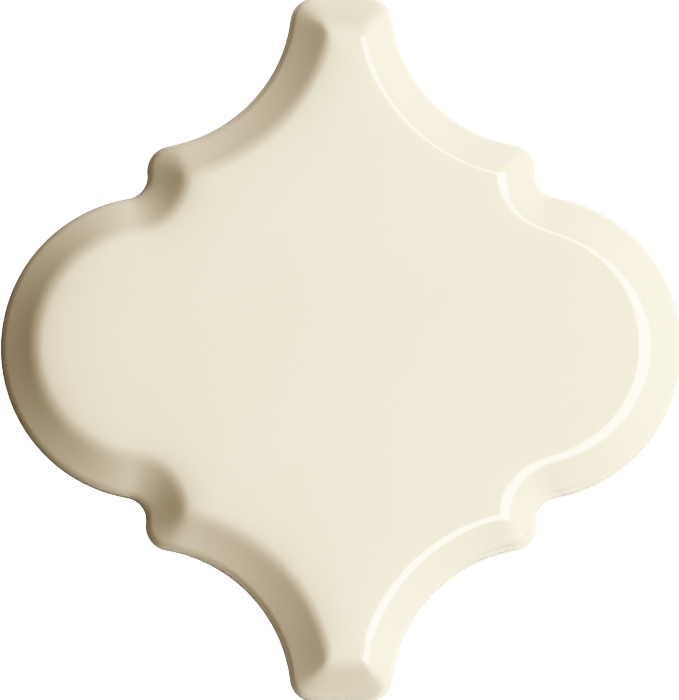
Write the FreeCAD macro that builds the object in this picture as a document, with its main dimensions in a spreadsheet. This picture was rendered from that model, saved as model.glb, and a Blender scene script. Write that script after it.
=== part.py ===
import FreeCAD, Part
import math
import os
import Sketcher

# A bevelled arabesque wall tile, pressed and glazed in one piece, lying on its back.
# Millimetres. +X runs across the two side lobes, +Y along the two necks, +Z out of the glazed face.

SIZES = [
    ("tile_width", 155.0, "over the two side lobes"),
    ("tile_height", 161.8, "over the two neck ends"),
    ("thickness", 10.0, "back plane to glazed face"),
    ("rim_height", 5.4, "back plane to the foot of the bevel"),
    ("bevel_width", 8.2, "outline to the crest of the bevel, seen from above"),
    ("crest_reach", 1.9, "half the width of the rounded crest"),
    ("rim_radius", 2.0, "rounding where the bevel meets the side"),
    ("foot_chamfer", 0.5, "broken edge round the back"),
    ("lobe_radius", 34.95, "side lobes"),
    ("ear_rise", 11.0, "between the circles of a lobe and of the hollow above it"),
    ("hollow_drop", 1.05, "neck end down to the centre of a hollow"),
    ("neck_width", 22.9, "narrowest place between two hollows"),
    ("notch_span", 98.8, "between the centres of a left and a right notch"),
    ("notch_radius", 5.1, "inside corner between a lobe and its ear"),
    ("corner_radius", 5.7, "outside corners of ears and necks"),
    ("hip_radius", 1.2, "ridge where two bevels meet"),
    ("key_margin", 5.0, "plain border round the keyed back"),
    ("key_depth", 0.8, "depth of the keyed cells"),
    ("rib_pitch", 13.0, "between ribs of the keyed back"),
    ("rib_width", 2.2, "ribs of the keyed back"),
]

QUARTERS = [(1, 1), (-1, 1), (-1, -1), (1, -1)]

# A sketch numbers its X axis, which starts at the origin, and then its Y axis downward from -1.
ORIGIN = (-1, 1)
X_AXIS = ORIGIN[0]
Y_AXIS = X_AXIS - 1

UP = FreeCAD.Vector(0, 0, 1)


class Length:
    """A number together with the expression that ties it to the sheet."""

    def __init__(self, number, text):
        self.number = number
        self.text = text

    def __add__(self, other):
        return Length(self.number + other.number, f"({self.text} + {other.text})")

    def __sub__(self, other):
        return Length(self.number - other.number, f"({self.text} - {other.text})")

    def __mul__(self, other):
        return Length(self.number * other.number, f"({self.text} * {other.text})")

    def __truediv__(self, other):
        return Length(self.number / other.number, f"({self.text} / {other.text})")


def plain(number):
    """A fixed number."""
    return Length(number, str(number))


def larger(first, second):
    """The larger of two lengths."""
    return Length(max(first.number, second.number), f"max({first.text}; {second.text})")


def whole(length):
    """A length rounded down to a whole number."""
    return Length(math.floor(length.number), f"floor({length.text})")


doc = FreeCAD.newDocument("arabesque_tile")

dims = doc.addObject("Spreadsheet::Sheet", "dims")
for row, (alias, value, meaning) in enumerate(SIZES, start=1):
    dims.set(f"A{row}", meaning)
    dims.set(f"B{row}", str(value))
    dims.setAlias(f"B{row}", alias)
doc.recompute()

size = {alias: Length(getattr(dims, alias), f"dims.{alias}") for alias, value, meaning in SIZES}

zero = plain(0)
two = plain(2)
half_width = size["tile_width"] / two
half_height = size["tile_height"] / two

# Centres of the arcs in the upper right quarter. A hollow fills the height that lobe and ear leave.
lobe_x = half_width - size["lobe_radius"]
hollow_y = half_height - size["hollow_drop"]
hollow_radius = hollow_y - size["lobe_radius"] - size["ear_rise"]
hollow_x = size["neck_width"] / two + hollow_radius
notch_x = size["notch_span"] / two


def origin_item(body, role):
    """The plane or axis of a body's origin that has this role."""
    return next(item for item in body.Origin.OriginFeatures if item.Role == role)


def flat_sketch(body, name, height):
    """An empty sketch parallel to the back plane."""
    sketch = body.newObject("Sketcher::SketchObject", name)
    sketch.AttachmentSupport = [(origin_item(body, "XY_Plane"), "")]
    sketch.MapMode = "FlatFace"
    sketch.AttachmentOffset = FreeCAD.Placement(UP * height.number, FreeCAD.Rotation())
    sketch.setExpression("AttachmentOffset.Base.z", height.text)
    return sketch


def bind(sketch, name, length, kind, *where):
    """Adds a dimension to a sketch and ties it to the sheet."""
    index = sketch.addConstraint(Sketcher.Constraint(kind, *where, length.number))
    sketch.renameConstraint(index, name)
    sketch.setExpression(f"Constraints.{name}", length.text)


def relate(sketch, kind, *where):
    """Adds a relation without a dimension to a sketch."""
    sketch.addConstraint(Sketcher.Constraint(kind, *where))


def touching(first, first_radius, second, second_radius):
    """The point at two distances from two centres, to the left on the way from the first to the second."""
    along = second - first
    span = along.Length
    along.normalize()
    foot = (first_radius ** 2 - second_radius ** 2 + span ** 2) / (2 * span)
    reach = math.sqrt(first_radius ** 2 - foot ** 2)
    return first + along * foot + UP.cross(along) * reach


def toward(centre, target, distance):
    """The point at a distance from a centre on the way to a target."""
    way = target - centre
    way.normalize()
    return centre + way * distance


def quarter_arcs(inset, corner):
    """Arcs of the upper right quarter from lobe to neck end: kind, centre, radius and two ends."""
    lobe = FreeCAD.Vector(lobe_x.number, 0, 0)
    hollow = FreeCAD.Vector(hollow_x.number, hollow_y.number, 0)
    notch_r = size["notch_radius"].number + inset
    hollow_r = hollow_radius.number + inset
    lobe_reach = size["lobe_radius"].number + size["notch_radius"].number
    notch_rise = math.sqrt(lobe_reach ** 2 - (notch_x.number - lobe.x) ** 2)
    notch = FreeCAD.Vector(notch_x.number, notch_rise, 0)
    ear = touching(notch, notch_r + corner, hollow, hollow_r + corner)
    end_y = half_height.number - inset
    neck_fall = end_y - corner - hollow.y
    neck = hollow + FreeCAD.Vector(-math.sqrt((hollow_r + corner) ** 2 - neck_fall ** 2), neck_fall, 0)
    lobe_to_notch = toward(lobe, notch, size["lobe_radius"].number - inset)
    notch_to_ear = toward(notch, ear, notch_r)
    ear_to_hollow = toward(hollow, ear, hollow_r)
    hollow_to_neck = toward(hollow, neck, hollow_r)
    neck_to_end = FreeCAD.Vector(neck.x, end_y, 0)
    return [
        ("notch", notch, notch_r, lobe_to_notch, notch_to_ear),
        ("ear", ear, corner, notch_to_ear, ear_to_hollow),
        ("hollow", hollow, hollow_r, ear_to_hollow, hollow_to_neck),
        ("neck", neck, corner, hollow_to_neck, neck_to_end),
    ]


def carried(point, quarter):
    """A point of the upper right quarter mirrored into another quarter."""
    return FreeCAD.Vector(point.x * quarter[0], point.y * quarter[1], 0)


def short_arc(centre, radius, first, last):
    """The shorter arc between two points, and whether it runs anticlockwise from the first."""
    spokes = [first - centre, last - centre]
    anticlockwise = spokes[0].cross(spokes[1]).z > 0
    if not anticlockwise:
        spokes.reverse()
    begin = math.atan2(spokes[0].y, spokes[0].x)
    finish = begin + spokes[0].getAngle(spokes[1])
    return Part.ArcOfCircle(Part.Circle(centre, UP, radius), begin, finish), anticlockwise


def outline_sketch(body, name, inset, height):
    """The tile's outline, drawn inside itself by an inset, as tangent arcs and two neck ends."""
    sketch = flat_sketch(body, name, height)
    corner = larger(size["corner_radius"] - inset, size["hip_radius"])
    arcs = quarter_arcs(inset.number, corner.number)
    lobe = FreeCAD.Vector(lobe_x.number, 0, 0)
    lobe_radius = size["lobe_radius"] - inset
    lobe_turn = (arcs[0][3] - lobe).getAngle(FreeCAD.Vector(1, 0, 0))
    neck_end = arcs[-1][4]
    drawn = {"lobe": [], "notch": [], "ear": [], "hollow": [], "neck": [], "end": []}
    chain = []

    def draw(kind, curve, anticlockwise=True):
        index = sketch.addGeometry(curve)
        drawn[kind].append(index)
        chain.append((index, 1, 2) if anticlockwise else (index, 2, 1))

    def draw_lobe(side, middle):
        circle = Part.Circle(lobe * side, UP, lobe_radius.number)
        draw("lobe", Part.ArcOfCircle(circle, middle - lobe_turn, middle + lobe_turn))

    def draw_quarter(quarter, outward):
        for kind, centre, radius, first, last in arcs if outward else reversed(arcs):
            ends = [carried(first, quarter), carried(last, quarter)]
            if not outward:
                ends.reverse()
            draw(kind, *short_arc(carried(centre, quarter), radius, *ends))

    def draw_end(first, second):
        draw("end", Part.LineSegment(carried(neck_end, first), carried(neck_end, second)))

    draw_lobe(1, 0)
    draw_quarter(QUARTERS[0], True)
    draw_end(QUARTERS[0], QUARTERS[1])
    draw_quarter(QUARTERS[1], False)
    draw_lobe(-1, math.pi)
    draw_quarter(QUARTERS[2], True)
    draw_end(QUARTERS[2], QUARTERS[3])
    draw_quarter(QUARTERS[3], False)

    for (index, start, finish), (following, entry, leave) in zip(chain, chain[1:] + chain[:1]):
        relate(sketch, "Tangent", index, finish, following, entry)
    radii = {
        "lobe": lobe_radius,
        "notch": size["notch_radius"] + inset,
        "ear": corner,
        "hollow": hollow_radius + inset,
        "neck": corner,
    }
    for kind, radius in radii.items():
        leader, *others = drawn[kind]
        for other in others:
            relate(sketch, "Equal", leader, other)
        bind(sketch, f"{kind}_radius", radius, "Radius", leader)

    right, left = drawn["lobe"]
    relate(sketch, "PointOnObject", right, 3, X_AXIS)
    bind(sketch, "lobe_x", lobe_x, "DistanceX", *ORIGIN, right, 3)
    relate(sketch, "Symmetric", right, 3, left, 3, Y_AXIS)

    first, second, third, fourth = drawn["hollow"]
    bind(sketch, "hollow_x", hollow_x, "DistanceX", *ORIGIN, first, 3)
    bind(sketch, "hollow_y", hollow_y, "DistanceY", *ORIGIN, first, 3)
    relate(sketch, "Symmetric", first, 3, second, 3, Y_AXIS)
    relate(sketch, "Symmetric", second, 3, third, 3, X_AXIS)
    relate(sketch, "Symmetric", first, 3, fourth, 3, X_AXIS)

    for number, (notch, quarter) in enumerate(zip(drawn["notch"], QUARTERS), start=1):
        ends = (*ORIGIN, notch, 3) if quarter[0] > 0 else (notch, 3, *ORIGIN)
        bind(sketch, f"notch_x_{number}", notch_x, "DistanceX", *ends)

    top, bottom = drawn["end"]
    relate(sketch, "Horizontal", top)
    relate(sketch, "Horizontal", bottom)
    bind(sketch, "top_y", half_height - inset, "DistanceY", *ORIGIN, top, 1)
    bind(sketch, "bottom_y", half_height - inset, "DistanceY", bottom, 1, *ORIGIN)
    doc.recompute()
    return sketch


def level_edges(shape, height):
    """Names of the edges of a shape that lie level at a height."""
    names = []
    for number, edge in enumerate(shape.Edges, start=1):
        box = edge.BoundBox
        if abs(box.ZMin - height) < 0.001 and abs(box.ZMax - height) < 0.001:
            names.append(f"Edge{number}")
    return names


def rib_row(body, name, axis, half_run, half_length):
    """Cuts a row of ribs out of the keyed cells, set out from the middle along an axis."""
    count = whole(half_run / size["rib_pitch"])
    start = count * size["rib_pitch"] + size["rib_width"] / two
    low = [-start.number, -half_length.number]
    high = [low[0] + size["rib_width"].number, half_length.number]
    corners = [(low[0], low[1]), (high[0], low[1]), (high[0], high[1]), (low[0], high[1])]
    across, lengthwise = "DistanceX", "DistanceY"
    if axis == "Y_Axis":
        corners = [(y, x) for x, y in corners]
        across, lengthwise = lengthwise, across
    points = [FreeCAD.Vector(x, y, 0) for x, y in corners]
    sketch = flat_sketch(body, f"{name}_outline", zero)
    for index in range(4):
        sketch.addGeometry(Part.LineSegment(points[index], points[(index + 1) % 4]))
    for index in range(4):
        relate(sketch, "Coincident", index, 2, (index + 1) % 4, 1)
        level = abs(points[index].y - points[(index + 1) % 4].y) < 0.001
        relate(sketch, "Horizontal" if level else "Vertical", index)
    bind(sketch, "start", start, across, 0, 1, *ORIGIN)
    bind(sketch, "rib_width", size["rib_width"], across, 0, 1, 0, 2)
    bind(sketch, "rib_reach", half_length, lengthwise, 0, 1, *ORIGIN)
    bind(sketch, "rib_length", half_length * two, lengthwise, 1, 1, 1, 2)
    doc.recompute()
    rib = body.newObject("PartDesign::Pocket", f"{name}_first")
    rib.Profile = sketch
    rib.Type = "ThroughAll"
    rib.Reversed = True
    doc.recompute()
    ribs = body.newObject("PartDesign::LinearPattern", f"{name}_rest")
    ribs.Originals = [rib]
    ribs.Direction = (origin_item(body, axis), [""])
    ribs.Mode = "Spacing"
    ribs.setExpression("Offset", size["rib_pitch"].text)
    ribs.setExpression("Occurrences", (count * two + plain(1)).text)
    body.Tip = ribs
    doc.recompute()


slope = (size["thickness"] - size["rim_height"]) / size["bevel_width"]

tile = doc.addObject("PartDesign::Body", "tile_body")
tile.Label = "tile"

outline = outline_sketch(tile, "outline", zero, zero)
slab = tile.newObject("PartDesign::Pad", "slab")
slab.Profile = outline
slab.setExpression("Length", size["rim_height"].text)
doc.recompute()

# The bevel climbs at one slope from the rim. Its corners tighten until, at the knee, they are hips.
knee = size["corner_radius"] - size["hip_radius"]
brow = size["bevel_width"] - size["crest_reach"]
rim_section = outline_sketch(tile, "rim_section", zero, size["rim_height"])
knee_section = outline_sketch(tile, "knee_section", knee, size["rim_height"] + slope * knee)
brow_section = outline_sketch(tile, "brow_section", brow, size["rim_height"] + slope * brow)
bevel = tile.newObject("PartDesign::AdditiveLoft", "bevel")
bevel.Profile = rim_section
bevel.Sections = [knee_section, brow_section]
bevel.Ruled = True
doc.recompute()

# The crest rolls from the bevel into the flat face, a quarter of the way down at its middle.
crest_drop = slope * size["crest_reach"] / plain(4)
crest_section = outline_sketch(tile, "crest_section", size["bevel_width"], size["thickness"] - crest_drop)
face_inset = size["bevel_width"] + size["crest_reach"]
face_section = outline_sketch(tile, "face_section", face_inset, size["thickness"])
crest = tile.newObject("PartDesign::AdditiveLoft", "crest")
crest.Profile = brow_section
crest.Sections = [crest_section, face_section]
doc.recompute()

eased_rim = tile.newObject("PartDesign::Fillet", "eased_rim")
eased_rim.Base = (crest, level_edges(crest.Shape, size["rim_height"].number))
eased_rim.setExpression("Radius", size["rim_radius"].text)
doc.recompute()

eased_foot = tile.newObject("PartDesign::Chamfer", "eased_foot")
eased_foot.Base = (eased_rim, level_edges(eased_rim.Shape, 0))
eased_foot.setExpression("Size", size["foot_chamfer"].text)
doc.recompute()

# The back is keyed for the adhesive: shallow cells between ribs that bear on the wall with the border.
cells = doc.addObject("PartDesign::Body", "cells")
cell_outline = outline_sketch(cells, "cell_outline", size["key_margin"], zero)
cell_field = cells.newObject("PartDesign::Pad", "cell_field")
cell_field.Profile = cell_outline
cell_field.setExpression("Length", size["key_depth"].text)
doc.recompute()
rib_row(cells, "upright_ribs", "X_Axis", half_width - size["key_margin"], half_height)
rib_row(cells, "level_ribs", "Y_Axis", half_height - size["key_margin"], half_width)

keyed_back = tile.newObject("PartDesign::Boolean", "keyed_back")
keyed_back.setObjects([cells])
keyed_back.Type = "Cut"
tile.Tip = keyed_back
doc.recompute()

for item in doc.Objects:
    if "Invalid" in item.State or "Error" in item.State:
        raise RuntimeError(f"{item.Name} did not build: {item.getStatusString()}")
if tile.Shape.isNull() or not tile.Shape.isValid() or len(tile.Shape.Solids) != 1:
    raise RuntimeError("the tile is not one valid solid")

os.makedirs("parts", exist_ok=True)
tile.Shape.exportStep(f"parts/{tile.Label}.step")
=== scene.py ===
import math
from collections import namedtuple

import bpy
import numpy as np
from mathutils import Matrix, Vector
from mathutils.geometry import delaunay_2d_cdt


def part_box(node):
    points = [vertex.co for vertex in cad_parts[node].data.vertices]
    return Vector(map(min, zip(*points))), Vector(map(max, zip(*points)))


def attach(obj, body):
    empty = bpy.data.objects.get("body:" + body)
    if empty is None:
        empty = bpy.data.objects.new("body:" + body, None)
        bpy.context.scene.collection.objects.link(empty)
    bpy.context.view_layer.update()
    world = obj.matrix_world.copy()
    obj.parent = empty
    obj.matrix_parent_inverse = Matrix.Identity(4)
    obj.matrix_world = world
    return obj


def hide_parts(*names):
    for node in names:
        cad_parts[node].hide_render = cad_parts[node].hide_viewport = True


# A cream glazed arabesque tile lying on its back, worked out in millimetres and made in metres.

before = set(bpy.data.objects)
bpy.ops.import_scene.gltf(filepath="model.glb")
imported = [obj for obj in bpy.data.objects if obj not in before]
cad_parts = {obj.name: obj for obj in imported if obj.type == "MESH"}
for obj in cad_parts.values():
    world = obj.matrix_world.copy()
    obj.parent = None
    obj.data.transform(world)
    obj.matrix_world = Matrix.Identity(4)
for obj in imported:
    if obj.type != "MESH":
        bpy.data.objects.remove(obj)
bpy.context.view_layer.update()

MM = 0.001

# Half the width and the height of the solid, and its thickness.
HALF_WIDTH, END_Y, FACE_HEIGHT = (round(reach / MM, 3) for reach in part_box("tile")[1])

# Plan of the upper right quarter, the same arcs as the solid.
LOBE = np.array((42.55, 0.0))
LOBE_RADIUS = HALF_WIDTH - LOBE[0]
NOTCH_RADIUS = 5.1
NOTCH_X = 49.4
NOTCH_Y = math.sqrt((LOBE_RADIUS + NOTCH_RADIUS) ** 2 - (NOTCH_X - LOBE[0]) ** 2)
NOTCH = np.array((NOTCH_X, NOTCH_Y))
HOLLOW = np.array((45.35, 79.85))
HOLLOW_RADIUS = 33.9
CORNER_RADIUS = 5.7
HIP_RADIUS = 1.2
SKIN = 0.08

# Points along each stretch of the quarter.
LOBE_POINTS = 64
NOTCH_POINTS = 16
EAR_POINTS = 22
HOLLOW_POINTS = 64
NECK_POINTS = 20
END_POINTS = 9

# Sections of the bevel, by insets from the outline: as pressed, the left bevel is the wider one.
Section = namedtuple("Section", "slope shoulder foot fade")
LEFT = {
    "lobe": Section(0.68, 6.5, 10.0, 3.5),
    "notch": Section(0.64, 7.6, 10.8, 3.5),
    "ear": Section(0.56, 6.8, 10.2, 3.0),
    "hollow": Section(0.56, 8.0, 10.6, 3.5),
}
RIGHT = {
    "lobe": Section(0.61, 5.7, 9.8, 1.0),
    "notch": Section(0.61, 5.0, 8.8, 2.0),
    "ear": Section(0.55, 5.7, 8.4, 2.0),
    "hollow": Section(0.55, 5.7, 8.4, 2.0),
}
TOP = Section(0.65, 6.2, 10.4, 4.0)
BOTTOM = Section(0.70, 5.7, 10.0, 4.5)
FACE_SLOPE = 0.13
BEVEL_DISH = 0.12
SECTION_STEP = 0.02
SECTION_INSETS = np.arange(0, 60, SECTION_STEP)

# How sharply the sides meet, and the bearings over which one section passes into another.
EAR_HIP = 2.3
END_HIP = 5.0
NOTCH_REACH = (60, 95)
EAR_REACH = (20, 65)

# Radius of the rim at the lobe with its notches, the two hollows and the end.
RIM_RADII = np.array((3.0, 2.6, 2.6, 2.0))
RIM_SLOPE = 0.49
RIM_START = math.atan(RIM_SLOPE)
RIM_STEPS = 9
RIM_BLEND = 0.3
RIM_BLEND_POWER = 3
WALL_SHARES = (0.66, 0.33, 0.0)

# Rings of the bevel and of its crest, and the grid of points inside them.
BEVEL_END = 5.2
BEVEL_RINGS = 8
CREST_START = 5.6
CREST_END = 10.6
CREST_RINGS = 24
GRID_ROWS = np.arange(-34, 35)
GRID_PITCH = np.array((2.4, 2.1))
GRID_CLEARANCE = 1.3

# Back, keyed for the adhesive.
FOOT_CHAMFER = 0.5
KEY_MARGIN = 5.0
KEY_DEPTH = 0.8
RIB_PITCH = 13.0
RIB_WIDTH = 2.2
RIB_OVERRUN = 0.2
RIB_PLACES = np.arange(-90, 90, 0.05)

GLAZE, CLAY = 0, 1
SHARP_ANGLE = math.radians(35)
MERGE_DISTANCE = 1e-6


def touching(first, first_reach, second, second_reach):
    """The point at two distances from two centres, on the left of the way from one to the other."""
    along = second - first
    gap = np.hypot(*along)
    along = along / gap
    foot = (first_reach**2 - second_reach**2 + gap**2) / (2 * gap)
    rise = math.sqrt(first_reach**2 - foot**2)
    return first + along * foot + np.array((-along[1], along[0])) * rise


def arc(centre, radius, start, finish, count):
    """Points on the shorter arc from the direction of one point to that of another, without its last."""
    first = math.atan2(*(start - centre)[::-1])
    last = math.atan2(*(finish - centre)[::-1])
    sweep = (last - first + math.pi) % (2 * math.pi) - math.pi
    turn = first + sweep * np.arange(count) / count
    return centre + radius * np.column_stack((np.cos(turn), np.sin(turn)))


def ring(inset):
    """The outline drawn inside itself, anticlockwise, with the same count of points at every inset."""
    inset = inset + SKIN
    corner = max(CORNER_RADIUS - inset, HIP_RADIUS)
    notch_radius = NOTCH_RADIUS + inset
    hollow_radius = HOLLOW_RADIUS + inset
    end = END_Y - inset
    ear = touching(NOTCH, notch_radius + corner, HOLLOW, hollow_radius + corner)
    fall = end - corner - HOLLOW[1]
    neck = np.array((HOLLOW[0] - math.sqrt((hollow_radius + corner) ** 2 - fall**2), end - corner))
    across = np.linspace(neck[0], 0, END_POINTS)
    quarter = np.vstack(
        (
            arc(LOBE, LOBE_RADIUS - inset, LOBE + (1, 0), NOTCH, LOBE_POINTS),
            arc(NOTCH, notch_radius, LOBE, ear, NOTCH_POINTS),
            arc(ear, corner, NOTCH, HOLLOW, EAR_POINTS),
            arc(HOLLOW, hollow_radius, ear, neck, HOLLOW_POINTS),
            arc(neck, corner, HOLLOW, neck + (0, 1), NECK_POINTS),
            np.column_stack((across, np.full(len(across), end))),
        )
    )
    back = quarter[::-1]
    turns = (quarter, back * (-1, 1), -quarter, back * (1, -1))
    return np.vstack([part[:-1] for part in turns])


def side_distances(plan):
    """How far points lie inside the lobe with its notches, the two hollows and the end of their quarter."""
    point = np.abs(plan)
    from_lobe = point - LOBE
    beside_lobe = np.arctan2(from_lobe[:, 1], from_lobe[:, 0]) < math.atan2(*(NOTCH - LOBE)[::-1])
    lobe = LOBE_RADIUS - np.hypot(*from_lobe.T)
    notch = np.hypot(*(point - NOTCH).T) - NOTCH_RADIUS
    near_hollow = np.hypot(*(point - HOLLOW).T) - HOLLOW_RADIUS
    far_hollow = np.hypot(*(point - HOLLOW * (-1, 1)).T) - HOLLOW_RADIUS
    end = END_Y - point[:, 1]
    return np.array((np.where(beside_lobe, lobe, notch), near_hollow, far_hollow, end))


def lies_inside(plan, margin):
    """Whether points lie further than a margin inside all sides."""
    return (side_distances(plan).min(axis=0) > margin) & (np.abs(plan[:, 1]) < END_Y)


def section_drop(section):
    """How far a section lies below the middle of the face, at each inset.

    The bevel rolls over from the shoulder to the foot, and the face still falls off over the fade.
    """
    corners = (0, section.shoulder, section.foot)
    rolled = np.interp(SECTION_INSETS, corners, (section.slope - BEVEL_DISH, section.slope, FACE_SLOPE))
    crown = FACE_SLOPE * np.exp(-(SECTION_INSETS - section.foot) / section.fade)
    slope = np.where(SECTION_INSETS < section.foot, rolled, crown)
    return np.cumsum(slope[::-1])[::-1] * SECTION_STEP


LEFT_DROPS = {side: section_drop(section) for side, section in LEFT.items()}
RIGHT_DROPS = {side: section_drop(section) for side, section in RIGHT.items()}
TOP_DROP = section_drop(TOP)
BOTTOM_DROP = section_drop(BOTTOM)


def side_drop(side, distance, on_left):
    """How far points at a distance inside the left or the right one of a kind of side have dropped."""
    left = np.interp(distance, SECTION_INSETS, LEFT_DROPS[side])
    right = np.interp(distance, SECTION_INSETS, RIGHT_DROPS[side])
    return np.where(on_left, left, right)


def end_drop(distance, at_bottom):
    """How far points at a distance inside the top or the bottom end have dropped."""
    top = np.interp(distance, SECTION_INSETS, TOP_DROP)
    bottom = np.interp(distance, SECTION_INSETS, BOTTOM_DROP)
    return np.where(at_bottom, bottom, top)


def meet(sharpness, *drops):
    """The drop where sides meet in a hip, sharper for a higher number."""
    return (np.array(drops) ** sharpness).sum(axis=0) ** (1 / sharpness)


def turned_share(way, reach):
    """A share that grows smoothly from none to all as ways turn from the first bearing to the last."""
    bearing = np.degrees(np.arctan2(way[:, 1], way[:, 0]))
    share = np.interp(bearing, reach, (0, 1))
    return share**2 * (3 - 2 * share)


def face_height(plan):
    """Height of the glazed face: each side falls by its section, and where two sides meet they blend."""
    lobe, near_hollow, far_hollow, end = side_distances(plan)
    on_left = plan[:, 0] < 0
    notched = turned_share(np.abs(plan) - LOBE, NOTCH_REACH)
    eared = turned_share(HOLLOW - np.abs(plan), EAR_REACH)
    lobe_drop = side_drop("lobe", lobe, on_left)
    hollow_drop = side_drop("hollow", near_hollow, on_left)
    flanks = meet(
        EAR_HIP,
        lobe_drop + (side_drop("notch", lobe, on_left) - lobe_drop) * notched,
        hollow_drop + (side_drop("ear", near_hollow, on_left) - hollow_drop) * eared,
        side_drop("hollow", far_hollow, ~on_left),
    )
    return FACE_HEIGHT - meet(END_HIP, flanks, end_drop(end, plan[:, 1] < 0))


def rim_width(radius):
    """How far in from the outline the bevel is eased off by a radius."""
    return radius * (1 - math.sin(RIM_START))


def rim_height(inset, brink_height, radius):
    """Height of the rim at an inset: the bevel runs on from the brink until a radius eases it off."""
    width = rim_width(radius)
    run = rim_width(RIM_RADII.max()) - np.maximum(inset, width)
    turn = np.arcsin(1 - np.minimum(inset, width) / radius)
    return brink_height - RIM_SLOPE * run - radius * (math.cos(RIM_START) - np.cos(turn))


# Points, faces and finish of each face of the tile, filled in by the functions below.
vertices = []
faces = []
finishes = []


def add_points(plan, height):
    """Adds points to the tile and gives their numbers."""
    first = len(vertices)
    heights = np.broadcast_to(height, len(plan))
    vertices.extend((x * MM, y * MM, z * MM) for (x, y), z in zip(plan, heights))
    return list(range(first, len(vertices)))


def add_faces(loops, finish):
    """Adds faces of one finish to the tile."""
    faces.extend(loops)
    finishes.extend([finish] * len(loops))


def stitch(outer, inner, finish):
    """Joins two rings with a band of quads that faces outward."""
    follow = outer[1:] + outer[:1]
    ahead = inner[1:] + inner[:1]
    add_faces([list(loop) for loop in zip(outer, follow, ahead, inner)], finish)


def fill(plan, loops, edges=()):
    """Fills the first loop with triangles.

    Gives the points, which of the given points each one was, the triangles and the loops round each.
    """
    made = delaunay_2d_cdt([Vector(p) for p in plan], list(edges), loops, 0, MERGE_DISTANCE, True)
    points, triangles, origin, inside = made[0], made[2], made[3], made[5]
    kept = [(triangle, within) for triangle, within in zip(triangles, inside) if 0 in within]
    return np.array([tuple(p) for p in points]), origin, *zip(*kept)


def make_bevel():
    """The bevel and its crest, giving the outermost ring with its heights and the innermost ring."""
    bevel_insets = np.linspace(rim_width(RIM_RADII.max()), BEVEL_END, BEVEL_RINGS)
    crest_insets = np.linspace(CREST_START, CREST_END, CREST_RINGS)
    plans = [ring(inset) for inset in (*bevel_insets, *crest_insets)]
    heights = [face_height(plan) for plan in plans]
    rings = [add_points(plan, height) for plan, height in zip(plans, heights)]
    for outer, inner in zip(rings, rings[1:]):
        stitch(outer, inner, GLAZE)
    return rings[0], heights[0], rings[-1]


def make_middle(innermost):
    """The middle of the face, inside the innermost ring of the crest."""
    border = ring(CREST_END)
    spots = [(i + j % 2 / 2, j) for i in GRID_ROWS for j in GRID_ROWS]
    grid = np.array(spots) * GRID_PITCH
    grid = grid[lies_inside(grid, CREST_END + GRID_CLEARANCE)]
    plan, origin, triangles, _ = fill(np.vstack((border, grid)), [range(len(border))])
    number = {i: innermost[given[0]] for i, given in enumerate(origin) if given and given[0] < len(border)}
    fresh = [i for i in range(len(plan)) if i not in number]
    number.update(zip(fresh, add_points(plan[fresh], face_height(plan[fresh]))))
    add_faces([[number[i] for i in triangle] for triangle in triangles], GLAZE)


def make_edge(brink, brink_height):
    """The eased rim, the upright side and the broken edge round the back, giving the lowest ring."""
    upper = brink
    closeness = 1 / (side_distances(ring(0)) + RIM_BLEND) ** RIM_BLEND_POWER
    radius = (closeness * RIM_RADII[:, None]).sum(axis=0) / closeness.sum(axis=0)
    for turn in np.linspace(RIM_START, math.pi / 2, RIM_STEPS)[1:]:
        inset = RIM_RADII.max() * (1 - math.sin(turn))
        height = rim_height(inset, brink_height, radius)
        lower = add_points(ring(inset), height)
        stitch(lower, upper, GLAZE)
        upper = lower
    for share in WALL_SHARES:
        lower = add_points(ring(0), FOOT_CHAMFER + (height - FOOT_CHAMFER) * share)
        stitch(lower, upper, GLAZE)
        upper = lower
    lower = add_points(ring(FOOT_CHAMFER), 0.0)
    stitch(lower, upper, CLAY)
    return lower


def rib_edges(axis, half_run):
    """Both edges of every rib across an axis, cut where they leave the keyed field."""
    ends = []
    count = int(half_run // RIB_PITCH)
    for middle in np.arange(-count, count + 1) * RIB_PITCH:
        for edge in (middle - RIB_WIDTH / 2, middle + RIB_WIDTH / 2):
            line = np.column_stack((np.full(len(RIB_PLACES), edge), RIB_PLACES))
            if axis == 1:
                line = line[:, ::-1]
            field = line[lies_inside(line, KEY_MARGIN - RIB_OVERRUN)]
            if len(field):
                ends.extend((field[0], field[-1]))
    return ends


def key_pattern():
    """Triangles of the back, with their points, which given point each was and whether each is in a cell."""
    border = ring(FOOT_CHAMFER)
    field = ring(KEY_MARGIN)
    ribs = rib_edges(0, HALF_WIDTH - KEY_MARGIN) + rib_edges(1, END_Y - KEY_MARGIN)
    count = len(border)
    edges = [(i, i + 1) for i in range(2 * count, 2 * count + len(ribs), 2)]
    loops = [range(count), range(count, 2 * count)]
    plan, origin, triangles, within = fill(np.vstack((border, field, ribs)), loops, edges)
    middles = np.array([plan[list(t)].mean(axis=0) for t in triangles])
    off_rib = np.abs(middles - np.round(middles / RIB_PITCH) * RIB_PITCH).min(axis=1) > RIB_WIDTH / 2
    sunk = off_rib & [1 in loop for loop in within]
    return plan, origin, triangles, sunk


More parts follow.
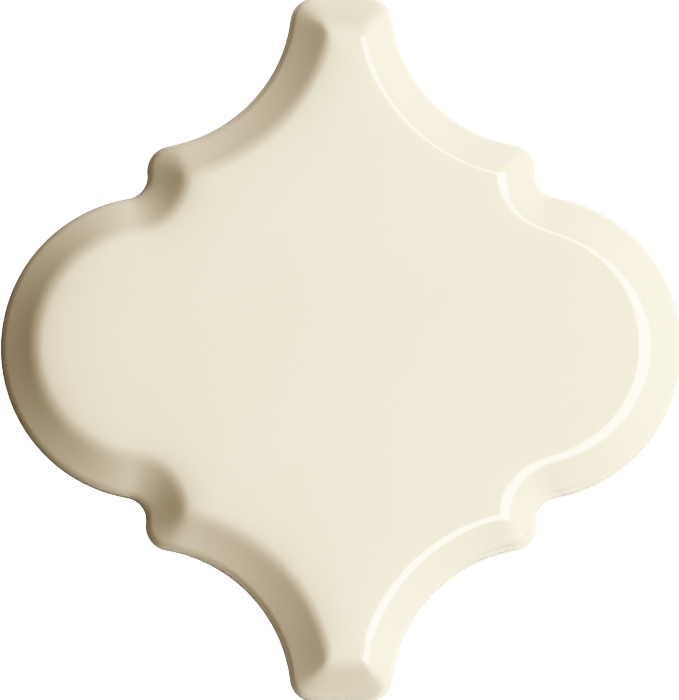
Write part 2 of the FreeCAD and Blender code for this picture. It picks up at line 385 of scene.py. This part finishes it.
def make_back(foot):
    """The back: a border and ribs in one plane, with shallow cells between them."""
    plan, origin, triangles, sunk = key_pattern()
    land = {i: foot[given[0]] for i, given in enumerate(origin) if given and given[0] < len(foot)}
    rest = [i for i in range(len(plan)) if i not in land]
    land.update(zip(rest, add_points(plan[rest], 0.0)))
    sunk_points = sorted({i for triangle, deep in zip(triangles, sunk) if deep for i in triangle})
    floor = dict(zip(sunk_points, add_points(plan[sunk_points], KEY_DEPTH)))
    owner = {}
    for triangle, deep in zip(triangles, sunk):
        level = floor if deep else land
        add_faces([[level[i] for i in reversed(triangle)]], CLAY)
        for a, b in zip(triangle, triangle[1:] + triangle[:1]):
            owner[a, b] = deep
    for (a, b), deep in owner.items():
        if deep and not owner.get((b, a), True):
            add_faces([[land[b], land[a], floor[a], floor[b]]], CLAY)


def make_tile():
    """The whole tile as one closed mesh."""
    brink, brink_height, innermost = make_bevel()
    make_middle(innermost)
    make_back(make_edge(brink, brink_height))
    mesh = bpy.data.meshes.new("arabesque_tile")
    mesh.from_pydata(vertices, [], faces)
    mesh.polygons.foreach_set("material_index", finishes)
    mesh.polygons.foreach_set("use_smooth", [True] * len(faces))
    mesh.set_sharp_from_angle(angle=SHARP_ANGLE)
    mesh.validate()
    return add_object("arabesque_tile", mesh)


def add_object(name, data):
    """Puts an object into the scene."""
    made = bpy.data.objects.new(name, data)
    bpy.context.scene.collection.objects.link(made)
    return made


def new_material(name):
    """A material with its node tree, its shader and a helper that adds linked nodes."""
    material = bpy.data.materials.new(name)
    material.use_nodes = True
    tree = material.node_tree
    shader = next(node for node in tree.nodes if node.type == "BSDF_PRINCIPLED")

    def node(kind, links=(), **settings):
        made = tree.nodes.new(kind)
        for key, value in settings.items():
            setattr(made, key, value)
        for socket, source in dict(links).items():
            if isinstance(source, bpy.types.NodeSocket):
                tree.links.new(source, made.inputs[socket])
            else:
                made.inputs[socket].default_value = source
        return made

    return material, tree, shader, node


def noise(node, place, scale, detail=2.0, roughness=0.5):
    """Noise with a number of features per metre."""
    links = {"Vector": place, "Scale": scale, "Detail": detail, "Roughness": roughness}
    return node("ShaderNodeTexNoise", links).outputs["Fac"]


def span(node, value, low, high, to_low=0.0, to_high=1.0):
    """A value carried from one range to another, held at its ends."""
    links = {"Value": value, "From Min": low, "From Max": high, "To Min": to_low, "To Max": to_high}
    return node("ShaderNodeMapRange", links).outputs["Result"]


def add_values(node, first, second):
    """The sum of two values."""
    return node("ShaderNodeMath", {0: first, 1: second}, operation="ADD").outputs[0]


def blend_colour(node, share, first, second):
    """A mix of two colours."""
    return node("ShaderNodeMix", {0: share, 6: first, 7: second}, data_type="RGBA").outputs[2]


def blend_value(node, share, first, second):
    """A mix of two values."""
    return node("ShaderNodeMix", {0: share, 2: first, 3: second}, data_type="FLOAT").outputs[0]


# Colours of the glaze and the clay.
CREAM = (0.795, 0.750, 0.625, 1)
PALE_CREAM = (0.805, 0.761, 0.636, 1)
SPECK = (0.560, 0.455, 0.310, 1)
BISCUIT = (0.640, 0.500, 0.365, 1)
DARK_BISCUIT = (0.520, 0.385, 0.265, 1)

# Noise of the materials: features per metre, detail and, where it isn't plain, roughness.
DRIFT = (28, 2)
SPECKS = (900, 1)
RAGGED_LINE = (160, 3)
GLOSS_PATCHES = (60, 3)
WAVES = (70, 1)
PEEL = (420, 1)
CLAY_CLOUDS = (60, 4, 0.6)
CLAY_GRAIN = (1500, 3)

# Levels of noise between which a blend runs from none to all.
NEAR_MIDDLE = (0.35, 0.65)
ROUND_MIDDLE = (0.3, 0.7)
SPECK_LEVELS = (0.76, 0.84)
PIT_LEVELS = (0.66, 0.74)

# Finish of the glaze and the clay, with heights and depths in metres.
SPECK_SHARE = 0.10
PIT_SHARE = 0.5
GLAZE_LINE = (0.0007, 0.0004)
LINE_WAVER = 0.0002
GLAZE_ROUGHNESS = (0.10, 0.15)
GLAZE_IOR = 1.52
COAT_IOR = 1.85
COAT_ROUGHNESS = 0.04
WAVE_DEPTH = 0.00003
PEEL_DEPTH = 0.000002
FOOT_ROUGHNESS = 0.85
CLAY_ROUGHNESS = (0.82, 0.94)
GRAIN_DEPTH = 0.00008
GRAIN_STRENGTH = 0.8


def glaze_material():
    """Cream glaze, a little uneven, running out above the bare foot of the side."""
    material, tree, shader, node = new_material("cream_glaze")
    place = node("ShaderNodeTexCoord").outputs["Object"]
    drift = span(node, noise(node, place, *DRIFT), *NEAR_MIDDLE)
    colour = blend_colour(node, drift, CREAM, PALE_CREAM)
    specks = span(node, noise(node, place, *SPECKS), *SPECK_LEVELS, 0.0, SPECK_SHARE)
    colour = blend_colour(node, specks, colour, SPECK)
    height = node("ShaderNodeSeparateXYZ", {0: place}).outputs["Z"]
    ragged = span(node, noise(node, place, *RAGGED_LINE), *ROUND_MIDDLE, -LINE_WAVER, LINE_WAVER)
    bare = span(node, add_values(node, height, ragged), *GLAZE_LINE)
    grain = span(node, noise(node, place, *CLAY_GRAIN), *NEAR_MIDDLE)
    clay = blend_colour(node, grain, DARK_BISCUIT, BISCUIT)
    tree.links.new(blend_colour(node, bare, colour, clay), shader.inputs["Base Color"])
    gloss = span(node, noise(node, place, *GLOSS_PATCHES), *ROUND_MIDDLE, *GLAZE_ROUGHNESS)
    tree.links.new(blend_value(node, bare, gloss, FOOT_ROUGHNESS), shader.inputs["Roughness"])
    shader.inputs["IOR"].default_value = GLAZE_IOR
    shader.inputs["Coat Weight"].default_value = 1.0
    shader.inputs["Coat IOR"].default_value = COAT_IOR
    shader.inputs["Coat Roughness"].default_value = COAT_ROUGHNESS
    waves = noise(node, place, *WAVES)
    peel = noise(node, place, *PEEL)
    wavy = node("ShaderNodeBump", {"Height": waves, "Distance": WAVE_DEPTH, "Strength": 1.0})
    peeled = node("ShaderNodeBump", {"Height": peel, "Distance": PEEL_DEPTH, "Normal": wavy.outputs[0]})
    tree.links.new(peeled.outputs[0], shader.inputs["Normal"])
    return material


def clay_material():
    """Bare fired clay of the back: buff, grainy and matt."""
    material, tree, shader, node = new_material("bare_clay")
    place = node("ShaderNodeTexCoord").outputs["Object"]
    cloud = noise(node, place, *CLAY_CLOUDS)
    grain = noise(node, place, *CLAY_GRAIN)
    colour = blend_colour(node, span(node, cloud, *ROUND_MIDDLE), DARK_BISCUIT, BISCUIT)
    pits = span(node, grain, *PIT_LEVELS, 0.0, PIT_SHARE)
    tree.links.new(blend_colour(node, pits, colour, SPECK), shader.inputs["Base Color"])
    tree.links.new(span(node, cloud, *ROUND_MIDDLE, *CLAY_ROUGHNESS), shader.inputs["Roughness"])
    rough = node("ShaderNodeBump", {"Height": grain, "Distance": GRAIN_DEPTH, "Strength": GRAIN_STRENGTH})
    tree.links.new(rough.outputs[0], shader.inputs["Normal"])
    return material


# Stage, in metres: a white table and the paper on it that the edge of the tile mirrors, with shadow painted
# on the paper at the tile's left.
WHITE_LIGHT = (1, 1, 1, 1)
SHEET_REACH = 4.0
TABLE_LEVEL = -0.0002
TABLE_GLOW = 2.0
PAPER_LEVEL = -0.0001
# Painted shadow: the paper is dark out from the left edge of the tile, where the tile's shadow falls, so that
# edge mirrors shade.
PAINTED_SHADE_PAPER = (0.42, 0.44, 0.43, 1)
PALE_PAPER = (0.94, 0.93, 0.88, 1)
PAINTED_SHADE_PASSAGE = (-0.06, -0.02)
PAPER_FIBRES = (300, 3)
PAPER_WAVER = 0.005
PAPER_ROUGHNESS = 0.9

# Camera, leaning from overhead towards the lower end of the tile.
TILT = math.radians(8.5)
VIEW = Vector((0, -math.sin(TILT), math.cos(TILT)))
CAMERA_REACH = 1.6
AIM = Vector((-0.00035, -0.00088, 0.0045))
FIELD_WIDTH = 0.1590
SENSOR_WIDTH = 36.0
CLIP_END = 20.0

# Outline of the main light: the slopes that mirror its inner and its outer edge, by bearing.
SKY_SIDES = (-80, -60, -40, -20, 0, 20, 40, 60, 80)
SKY_INNER = (0.22, 0.25, 0.22, 0.19, 0.15, 0.15, 0.16, 0.17, 0.16)
SKY_OUTER = (0.36, 0.44, 0.47, 0.47, 0.47, 0.39, 0.28, 0.22, 0.19)
SKY_STEPS = 41
SKY_HEIGHT = 1.2
SKY_FADE = (0.48, 0.84)
SKY_GLOW = (5.5, 3.3)

# Softboxes on the right: bearing and glow of each, and their common lean from overhead and size.
SOFTBOXES = {"lower_panel": (-42, 9.4), "upper_panel": (43, 14.5)}
SOFTBOX_LEAN = math.radians(68)
SOFTBOX_REACH = 2.0
SOFTBOX_WIDTH = 1.2
SOFTBOX_DEPTH = 0.6
ROOM_COLOUR = (1.0, 0.95, 0.88, 1)
ROOM_GLOW = 0.015

# Tone of the photo in red, green and blue, below and above the level of the flat face.
Tone = namedtuple("Tone", "level fall wash")
TONES = (Tone(0.863, 1.05, 0.45), Tone(0.815, 1.24, 0.55), Tone(0.68, 1.55, 0.85))
TONE_STEP = 0.1
WHITE_LEVEL = 2.0


def sheet_material(name, glow):
    """Plain paper with painted shadow: dark under the left of the tile and pale under the rest, with a glow
    of its own.
    """
    material, tree, shader, node = new_material(name)
    place = node("ShaderNodeTexCoord").outputs["Object"]
    across = node("ShaderNodeSeparateXYZ", {0: place}).outputs["X"]
    uneven = span(node, noise(node, place, *PAPER_FIBRES), *ROUND_MIDDLE, -PAPER_WAVER, PAPER_WAVER)
    # Painted shadow: the paper turns dark towards the left of the tile.
    painted_shade = span(node, add_values(node, across, uneven), *PAINTED_SHADE_PASSAGE)
    tree.links.new(blend_colour(node, painted_shade, PAINTED_SHADE_PAPER, PALE_PAPER), shader.inputs["Base Color"])
    shader.inputs["Roughness"].default_value = PAPER_ROUGHNESS
    shader.inputs["Specular IOR Level"].default_value = 0.0
    shader.inputs["Emission Color"].default_value = WHITE_LIGHT
    shader.inputs["Emission Strength"].default_value = glow
    return material


def make_sheet(name, level, glow=0.0):
    """A wide plain sheet under the tile, which throws no light back on it."""
    plane = bpy.data.meshes.new(name)
    low, high = -SHEET_REACH, SHEET_REACH
    corners = [(low, low, level), (high, low, level), (high, high, level), (low, high, level)]
    plane.from_pydata(corners, [], [[0, 1, 2, 3]])
    plane.materials.append(sheet_material(name, glow))
    sheet = add_object(name, plane)
    sheet.visible_diffuse = False
    return sheet


def make_floor():
    """A table that glows white, so it shows no shadow, and the paper with painted shadow that only the tile's
    gloss shows.
    """
    table = make_sheet("table", TABLE_LEVEL, TABLE_GLOW)
    table.visible_glossy = False
    paper = make_sheet("paper", PAPER_LEVEL)
    paper.visible_camera = False


def mirrored(side, slope):
    """Where the view lands on a sheet at a height of one, mirrored by a surface of this bearing and slope."""
    turn = math.radians(side)
    normal = Vector((slope * math.cos(turn), slope * math.sin(turn), 1)).normalized()
    way = 2 * normal.dot(VIEW) * normal - VIEW
    return way.x / way.z, way.y / way.z


def sky_material():
    """An even white glow that fades towards the top of the view."""
    material, tree, shader, node = new_material("sky_panel")
    shader.inputs["Base Color"].default_value = (0, 0, 0, 1)
    shader.inputs["Specular IOR Level"].default_value = 0.0
    shader.inputs["Emission Color"].default_value = WHITE_LIGHT
    place = node("ShaderNodeTexCoord").outputs["Object"]
    along = node("ShaderNodeSeparateXYZ", {0: place}).outputs["Y"]
    fading = span(node, along, *SKY_FADE, *SKY_GLOW)
    tree.links.new(fading, shader.inputs["Emission Strength"])
    return material


def make_sky_panel():
    """The main light: a flat lit sheet overhead, bent in plan round the right side of the tile."""
    sides = np.linspace(SKY_SIDES[0], SKY_SIDES[-1], SKY_STEPS)
    inner = [mirrored(*edge) for edge in zip(sides, np.interp(sides, SKY_SIDES, SKY_INNER))]
    outer = [mirrored(*edge) for edge in zip(sides, np.interp(sides, SKY_SIDES, SKY_OUTER))]
    outline = [(x * SKY_HEIGHT, y * SKY_HEIGHT, SKY_HEIGHT) for x, y in inner + outer[::-1]]
    last = len(outline) - 1
    strips = [(i, i + 1, last - i - 1, last - i) for i in range(SKY_STEPS - 1)]
    sheet = bpy.data.meshes.new("sky_panel")
    sheet.from_pydata(outline, [], strips)
    sheet.materials.append(sky_material())
    panel = add_object("sky_panel", sheet)
    panel.visible_camera = False


def add_softbox(name, side, glow):
    """A lit panel facing the tile from a bearing, not mirrored by the glaze."""
    lamp = bpy.data.lights.new(name, "AREA")
    lamp.shape = "RECTANGLE"
    lamp.size = SOFTBOX_WIDTH
    lamp.size_y = SOFTBOX_DEPTH
    lamp.energy = glow * math.pi * SOFTBOX_WIDTH * SOFTBOX_DEPTH
    turn = math.radians(side)
    out = math.sin(SOFTBOX_LEAN)
    way = Vector((out * math.cos(turn), out * math.sin(turn), math.cos(SOFTBOX_LEAN)))
    light = add_object(name, lamp)
    light.location = way * SOFTBOX_REACH
    light.rotation_euler = way.to_track_quat("Z", "Y").to_euler()
    light.visible_glossy = False


def light_room():
    """A faint warm light from all round."""
    world = bpy.data.worlds.new("studio")
    world.use_nodes = True
    backdrop = world.node_tree.nodes["Background"]
    backdrop.inputs["Color"].default_value = ROOM_COLOUR
    backdrop.inputs["Strength"].default_value = ROOM_GLOW
    bpy.context.scene.world = world


def add_camera():
    """A long lens far off, so the tile is seen nearly without perspective."""
    lens = bpy.data.cameras.new("camera")
    lens.sensor_width = SENSOR_WIDTH
    lens.lens = SENSOR_WIDTH * CAMERA_REACH / FIELD_WIDTH
    lens.clip_end = CLIP_END
    camera = add_object("camera", lens)
    camera.location = AIM + VIEW * CAMERA_REACH
    camera.rotation_euler = (TILT, 0, 0)
    bpy.context.scene.camera = camera


def toned(light, tone):
    """How bright light is shown: below the level of a tone it falls off, and above it washes out."""
    glare = 1 - (1 - tone.level) * math.exp(-(light - tone.level) / tone.wash)
    if light >= tone.level:
        return glare
    return min(tone.level * (light / tone.level) ** tone.fall, glare)


def set_tones():
    """Gives the picture the tone of the photo."""
    settings = bpy.context.scene.view_settings
    settings.view_transform = "Standard"
    settings.use_curve_mapping = True
    mapping = settings.curve_mapping
    mapping.white_level = (WHITE_LEVEL, WHITE_LEVEL, WHITE_LEVEL)
    for curve, tone in zip(mapping.curves, TONES):
        for light in np.arange(TONE_STEP, WHITE_LEVEL, TONE_STEP):
            point = curve.points.new(light / WHITE_LEVEL, toned(light, tone))
            point.handle_type = "AUTO_CLAMPED"
    mapping.update()


tile = make_tile()
tile.data.materials.append(glaze_material())
tile.data.materials.append(clay_material())
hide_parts("tile")
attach(tile, "root")

make_floor()
make_sky_panel()
for name, (side, glow) in SOFTBOXES.items():
    add_softbox(name, side, glow)
light_room()
add_camera()
set_tones()
